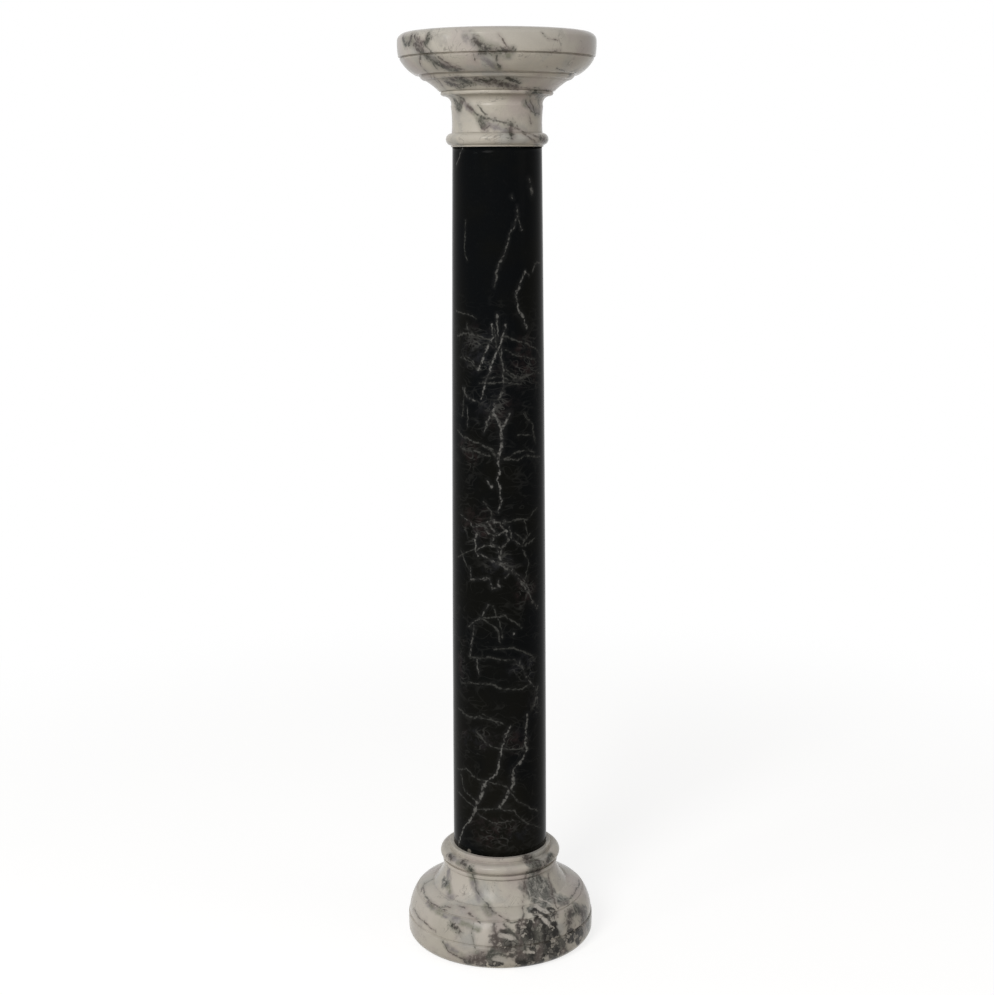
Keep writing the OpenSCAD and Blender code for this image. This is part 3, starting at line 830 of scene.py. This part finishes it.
def white_marble(name, side, grooves, cut_from, dark, mass, stains, bruises, sheen_places=(), breccia=(),
                 white=()):
    """One block of the white stone. side is its outline, and cut_from is its place in the endless stone."""
    material, web = new_material(name)
    spot = web.place()
    own = web.vec("ADD", spot, cut_from)
    z = web.split(spot)[2]
    shaken = web.shaken(web.shaken(spot, own, 11.0, 5.0), own, 3.4, 2.4)
    loose = web.shaken(web.shaken(spot, own, 16.0, 16.0), own, 4.0, 5.0)

    # The ground: warm cream with slow clouds of rose and cool grey, and a crystal grain.
    clouds = web.channels(web.noise(own, 52.0, 4.0, 0.55, 0.4, colour=True))
    ground = web.blend(web.fade(clouds[0], 0.38, 0.64), CREAM, CREAM_DEEP)
    ground = web.blend(web.fade(clouds[1], 0.47, 0.64, 0.0, 0.8), ground, ROSE)
    ground = web.blend(web.fade(clouds[2], 0.5, 0.68, 0.0, 0.8), ground, COOL)
    ground = web.blend(web.fade(z, COOL_FROM, COOL_FULL, 0.0, 0.35), ground, COOL_TOP)
    grain = web.noise(own, 1.6, 3.0, 0.6)
    ground = web.blend(web.fade(grain, 0.35, 0.7, 0.0, 0.22), ground, CRYSTAL)
    # Painted sheen: the ground is made paler where light falls on the base's left.
    if sheen_places:
        painted_sheen = web.fade(web.nearest_patch(loose, lumps(side, sheen_places)), 1.2, 0.4, 0.0, 0.75)
        ground = web.blend(painted_sheen, ground, PAINTED_SHEEN_CREAM)

    # Faint natural veining, in broken runs.
    thin = web.math("MAXIMUM", web.ridge(own, 44.0, 0.01, 4.0, 0.8), web.ridge(own, 23.0, 0.012, 3.0, 1.5))
    runs = web.fade(web.noise(own, 30.0, 2.0), 0.5, 0.66)
    faint = web.times(web.times(thin, runs), 0.62)
    ground = web.blend(faint, ground, THIN_VEIN)
    veil_runs = web.fade(web.noise(own, 46.0, 2.0), 0.5, 0.68)
    veil = web.times(web.ridge(own, 60.0, 0.055, 5.0, 1.0), veil_runs)
    ground = web.blend(web.times(veil, 0.42), ground, VEIL)

    # Broad soft stains that run beside the veins.
    stained = web.times(web.fade(web.nearest(shaken, drawn_on(side, stains)), 1.6, 0.3),
                       web.fade(web.noise(own, 8.0, 4.0, 0.6), 0.32, 0.62, 0.35, 0.95))
    stain_hue = web.fade(web.noise(own, 30.0, 2.0), 0.44, 0.56)
    ground = web.blend(stained, ground, web.blend(stain_hue, GREEN_STAIN, LILAC_STAIN))

    bruise = web.fade(web.nearest_patch(loose, lumps(side, bruises)), 1.25, 0.65)
    streaky = web.noise(web.vec("MULTIPLY", loose, (1.6, 1.6, 0.45)), 6.5, 4.0, 0.65)
    ground = web.blend(web.times(bruise, 0.95), ground, web.ramp(streaky, BRUISE))

    if breccia:
        zone = web.fade(web.nearest_patch(loose, lumps(side, breccia)), 1.12, 0.86)
        crushed = web.shaken(web.shaken(spot, own, 9.0, 9.0), own, 2.4, 3.4)
        piece_of = web.channels(web.cells(crushed, FRAGMENT, output="Color"))
        tone = web.math("MULTIPLY_ADD", piece_of[0], 0.66, -0.05)
        tone = web.math("MULTIPLY_ADD", web.noise(crushed, 3.6, 4.0, 0.65), 0.55, tone)
        seams = web.fade(web.cells(crushed, FRAGMENT, "DISTANCE_TO_EDGE"), 0.16, 0.02)
        fragment = web.blend(web.times(seams, 0.85), web.ramp(tone, FRAGMENTS), SEAM)
        ground = web.blend(zone, ground, fragment)
        pale = web.fade(web.nearest(shaken, drawn_on(side, white)), 1.5, 0.7)
        pale_runs = web.fade(web.noise(own, 3.0, 2.0), 0.3, 0.5, 0.55, 1.0)
        ground = web.blend(web.times(pale, pale_runs), ground, WHITE_PIECE)

    # Dark masses, with dark spots about them, and the drawn veins.
    patchy = web.noise(own, 4.4, 2.5, 0.55)
    masses = web.nearest(shaken, drawn_on(side, mass))
    mass_share = web.times(web.fade(masses, 2.4, 0.5), web.fade(patchy, 0.36, 0.56, 0.25, 1.0))
    hue = web.fade(web.noise(own, 26.0, 2.0), 0.44, 0.56)
    mass_colour = web.blend(hue, *MASS)
    ground = web.blend(web.fade(masses, 4.6, 0.8, 0.0, 0.6), ground, web.blend(hue, *AROUND_MASS))
    ground = web.blend(mass_share, ground, mass_colour)
    spotty = web.fade(web.noise(own, 2.7, 1.5), 0.56, 0.66)
    spots = web.times(spotty, web.fade(masses, 4.4, 1.2, 0.0, 0.85))
    ground = web.blend(spots, ground, mass_colour)
    lines = web.nearest(shaken, drawn_on(side, dark))
    thick = web.fade(web.noise(own, 6.0, 2.0), 0.36, 0.62, 1.6, 0.7)
    line_share = web.times(web.fade(web.times(lines, thick), 2.0, 0.2),
                          web.fade(patchy, 0.34, 0.56, 0.25, 0.85))
    ground = web.blend(web.fade(lines, 7.0, 0.8, 0.0, 0.34), ground, web.blend(hue, *LINE_HALO))
    ground = web.blend(line_share, ground, web.blend(hue, *DARK_LINE))

    # Old dust and painted shade in the sunk lines.
    dust_and_shade = None
    for groove_z, reach, thickness in grooves:
        near = web.fade(web.math("ABSOLUTE", web.math("SUBTRACT", z, groove_z)), reach, 0.2, 0.0, thickness)
        dust_and_shade = near if dust_and_shade is None else web.math("MAXIMUM", dust_and_shade, near)
    dust_and_shade = web.times(dust_and_shade, web.fade(web.noise(own, 8.0, 3.0), 0.3, 0.65, 0.25, 1.0))
    colour = web.blend(dust_and_shade, ground, GROOVE_DUST_AND_SHADE)

    roughness = web.fade(web.noise(own, 17.0, 3.0), 0.3, 0.7, 0.17, 0.26)
    roughness = web.math("MULTIPLY_ADD", line_share, 0.1, roughness)
    roughness = web.math("MULTIPLY_ADD", dust_and_shade, 0.35, roughness)
    web.finish(colour, roughness, web.noise(own, 9.0, 3.0), WHITE_BUMP, WHITE_SPECULAR)
    return material


# -------------------- the three stones

base_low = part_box("base")[0]
shaft_low, shaft_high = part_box("shaft")
foot_z, shaft_foot_z, shaft_head_z = base_low[2] / MM, shaft_low[2] / MM, shaft_high[2] / MM

base_side = outline(BASE_MOULDINGS, foot_z)
capital_side = outline(CAPITAL_MOULDINGS, shaft_head_z)
shaft_side = shaft_outline(shaft_foot_z, shaft_head_z)
CHIP_AT = Vector((
    SHAFT_FOOT_R * math.sin(CHIP_ANGLE), -SHAFT_FOOT_R * math.cos(CHIP_ANGLE), shaft_foot_z + CHIP_UP))

base_back = wandering(BASE_SEED, (98, 262), (4, 114))
capital_back = wandering(CAPITAL_SEED, (84, 284), (942, 1056))

black = black_marble()
base_stone = white_marble(
    "white_marble_base", base_side, BASE_GROOVES, BASE_CUT_FROM, BASE_DARK + base_back,
    BASE_MASS + BASE_BACK_MASS, BASE_STAINS, BASE_BRUISES + BASE_BACK_BRUISES, BASE_SHEEN_PLACES,
    BASE_BRECCIA + BASE_BACK_BRECCIA, BASE_WHITE)
capital_stone = white_marble(
    "white_marble_capital", capital_side, CAPITAL_GROOVES, CAPITAL_CUT_FROM, CAPITAL_DARK + capital_back,
    CAPITAL_MASS + CAPITAL_BACK_MASS, CAPITAL_STAINS, CAPITAL_TOP_GREY)

base_piece = turned(
    "marble_base", eased(base_side, BASE_EASE), hand_cut("base", WHITE_WAVES), base_stone,
    {"side": halves_stacked(0.76), "foot": (0.13, 0.885, 0.11), "head": (0.38, 0.885, 0.11)})
shaft_piece = turned(
    "marble_shaft", shaft_side, hand_cut("shaft", SHAFT_WAVES, ((CHIP_AT, CHIP_REACH, CHIP_DEEP),)), black,
    {"side": halves_beside(0.93), "foot": (0.04, 0.966, 0.03), "head": (0.12, 0.966, 0.03)})
capital_piece = turned(
    "marble_capital", eased(capital_side, CAPITAL_EASE), hand_cut("capital", WHITE_WAVES), capital_stone,
    {"side": halves_stacked(0.66), "foot": (0.5, 0.83, 0.12), "head": (0.17, 0.83, 0.16)})

for piece, node, finish in (
        (base_piece, "base", "white_marble"), (shaft_piece, "shaft", "black_marble"),
        (capital_piece, "capital", "white_marble")):
    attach(piece, "root")
    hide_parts(node)


# -------------------- floor, light and camera

# Plain white from PLAIN_FROM metres out. Nearer, the floor glows less and catches the shadow.
FLOOR_R, FLOOR_EDGES, PLAIN_NEAR, PLAIN_FROM = 6.0, 64, 0.6, 1.5
WHITE, CATCH, FLOOR_STONE = (1, 1, 1, 1), (0.44, 0.44, 0.44, 1), (0.62, 0.585, 0.525, 1)
FLOOR_GLOW, ROOM_GLOW, ROOM = 0.77, 0.27, (1.0, 0.985, 0.965, 1)

# The lamps: name, place, aim, size in metres, power in watts and colour.
LAMPS = (
    ("key", (-1.35, -2.9, 2.3), (0, 0, 0.55), 1.5, 61.0, (1.0, 0.985, 0.965)),
    ("window", (-2.05, -1.3, 1.32), (0, 0, 0.9), 0.26, 3.0, (1.0, 1.0, 1.0)),
    ("fill", (2.6, -1.2, 1.6), (0, 0, 0.5), 1.8, 6.0, (1.0, 0.94, 0.86)),
)

LENS, SENSOR = 61.0, 36.0
CAMERA_AT, LOOK_DOWN, LEAN = (-0.0019, -1.92, 0.9195), math.radians(11.21), math.radians(-0.25)


def seen_directly(web):
    """1 for what is seen, also in a gloss or through glass; 0 for the light that is given."""
    path = web.node("ShaderNodeLightPath", {}).outputs
    either = web.math("MAXIMUM", path["Is Camera Ray"], path["Is Glossy Ray"])
    return web.math("MAXIMUM", either, path["Is Transmission Ray"])


def floor_material():
    material, web = new_material("pale_floor")
    away = web.times(web.vec("LENGTH", web.place()), MM)
    far = web.fade(away, PLAIN_NEAR, PLAIN_FROM)
    glow = web.node("ShaderNodeEmission", {"Color": WHITE, "Strength": FLOOR_GLOW}).outputs[0]
    catch = web.node("ShaderNodeBsdfDiffuse", {"Color": CATCH}).outputs[0]
    near = web.node("ShaderNodeAddShader", {0: glow, 1: catch}).outputs[0]
    white = web.node("ShaderNodeEmission", {"Color": WHITE, "Strength": 1.0}).outputs[0]
    seen = web.node("ShaderNodeMixShader", {0: far, 1: near, 2: white}).outputs[0]
    plain = web.node("ShaderNodeBsdfDiffuse", {"Color": FLOOR_STONE}).outputs[0]
    shown = web.node("ShaderNodeMixShader", {0: seen_directly(web), 1: plain, 2: seen}).outputs[0]
    web.node("ShaderNodeOutputMaterial", {0: shown})
    return material


def floor():
    """A round pale floor, level with the column's underside."""
    mesh = bpy.data.meshes.new("floor")
    turns = [2 * math.pi * corner / FLOOR_EDGES for corner in range(FLOOR_EDGES)]
    ring = [(FLOOR_R * math.cos(turn), FLOOR_R * math.sin(turn), 0.0) for turn in turns]
    mesh.from_pydata(ring, [], [tuple(range(FLOOR_EDGES))])
    mesh.materials.append(floor_material())
    made = bpy.data.objects.new("floor", mesh)
    made.location.z = base_low[2]
    bpy.context.scene.collection.objects.link(made)


def surroundings():
    world = bpy.data.worlds.new("studio")
    bpy.context.scene.world = world
    world.use_nodes = True
    web = Web(world.node_tree)
    white = web.node("ShaderNodeBackground", {"Color": WHITE, "Strength": 1.0}).outputs[0]
    soft = web.node("ShaderNodeBackground", {"Color": ROOM, "Strength": ROOM_GLOW}).outputs[0]
    shown = web.node("ShaderNodeMixShader", {0: seen_directly(web), 1: soft, 2: white}).outputs[0]
    web.node("ShaderNodeOutputWorld", {0: shown})


def soft_lamp(name, place, aim, size, power, colour):
    data = bpy.data.lights.new(name, "AREA")
    data.shape, data.size, data.energy, data.color = "DISK", size, power, colour
    lamp = bpy.data.objects.new(name, data)
    lamp.location = place
    lamp.rotation_euler = (Vector(aim) - Vector(place)).to_track_quat("-Z", "Y").to_euler()
    bpy.context.scene.collection.objects.link(lamp)


def camera():
    data = bpy.data.cameras.new("camera")
    data.lens, data.sensor_width = LENS, SENSOR
    data.clip_start, data.clip_end = 0.05, 50.0
    made = bpy.data.objects.new("camera", data)
    tilt = Matrix.Rotation(math.pi / 2 - LOOK_DOWN, 4, "X")
    made.matrix_world = Matrix.Translation(CAMERA_AT) @ tilt @ Matrix.Rotation(LEAN, 4, "Z")
    bpy.context.scene.collection.objects.link(made)
    bpy.context.scene.camera = made


floor()
surroundings()
for lamp in LAMPS:
    soft_lamp(*lamp)
camera()
bpy.context.scene.view_settings.view_transform = "Standard"
